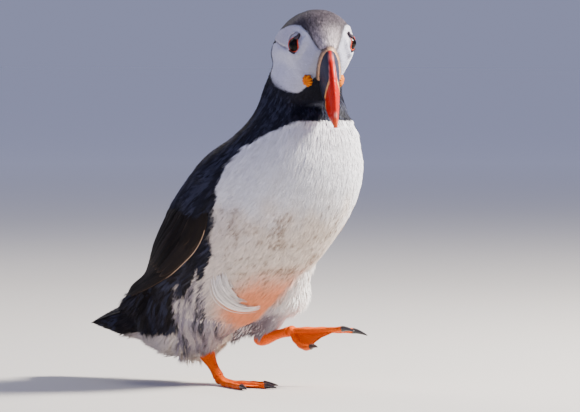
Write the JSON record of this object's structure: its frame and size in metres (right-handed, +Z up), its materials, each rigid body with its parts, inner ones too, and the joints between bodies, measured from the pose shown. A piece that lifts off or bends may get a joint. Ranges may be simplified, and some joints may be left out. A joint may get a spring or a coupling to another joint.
{
  "type": "atlantic puffin model",
  "caption": "Life-size still model of an Atlantic puffin in mid-stride, standing on one webbed foot with the other lifted and its head turned to one side.",
  "frame": {"origin": "on the floor, under the middle of the bird's bounding box", "axes": "the bird walks towards -Y, +Z is up, its own left side is towards +X; its head is turned about 35 degrees towards -X"},
  "size_m": [0.0976, 0.2048, 0.2152],
  "materials": {
    "plumage_black": "soft matt black feathers with a faint blue bloom",
    "plumage_white": "dense silky white feathers, stained warm low on the belly",
    "plumage_grey": "very short pale grey face feathers under a dark crown",
    "flight_feather": "stiff dark brown vanes with a slight sheen",
    "leg_skin": "moist scaly orange skin",
    "claw_horn": "polished dark horn",
    "bill_horn": "ridged waxy horn in red and slate with pale lines",
    "cere": "pitted cream rim",
    "gape_skin": "wrinkled yellow skin",
    "eye": "wet dark eye"
  },
  "bodies": {
    "root": {"bill_lower": "bill_horn", "bill_upper": "bill_horn", "cere": "cere", "claw_left_inner": "claw_horn", "claw_left_middle": "claw_horn", "claw_left_outer": "claw_horn", "claw_right_inner": "claw_horn", "claw_right_middle": "claw_horn", "claw_right_outer": "claw_horn", "eye_left": "eye", "eye_right": "eye", "foot_left": "leg_skin", "foot_right": "leg_skin", "gape_left": "gape_skin", "gape_right": "gape_skin", "head": "plumage_grey", "neck": "plumage_black", "primaries_left": "flight_feather", "primaries_right": "flight_feather", "tail": "plumage_black", "tarsus_left": "leg_skin", "tarsus_right": "leg_skin", "thigh_left": "plumage_white", "thigh_right": "plumage_white", "trunk": "plumage_white", "wing_left": "plumage_black", "wing_right": "plumage_black"}
  },
  "joints": []
}
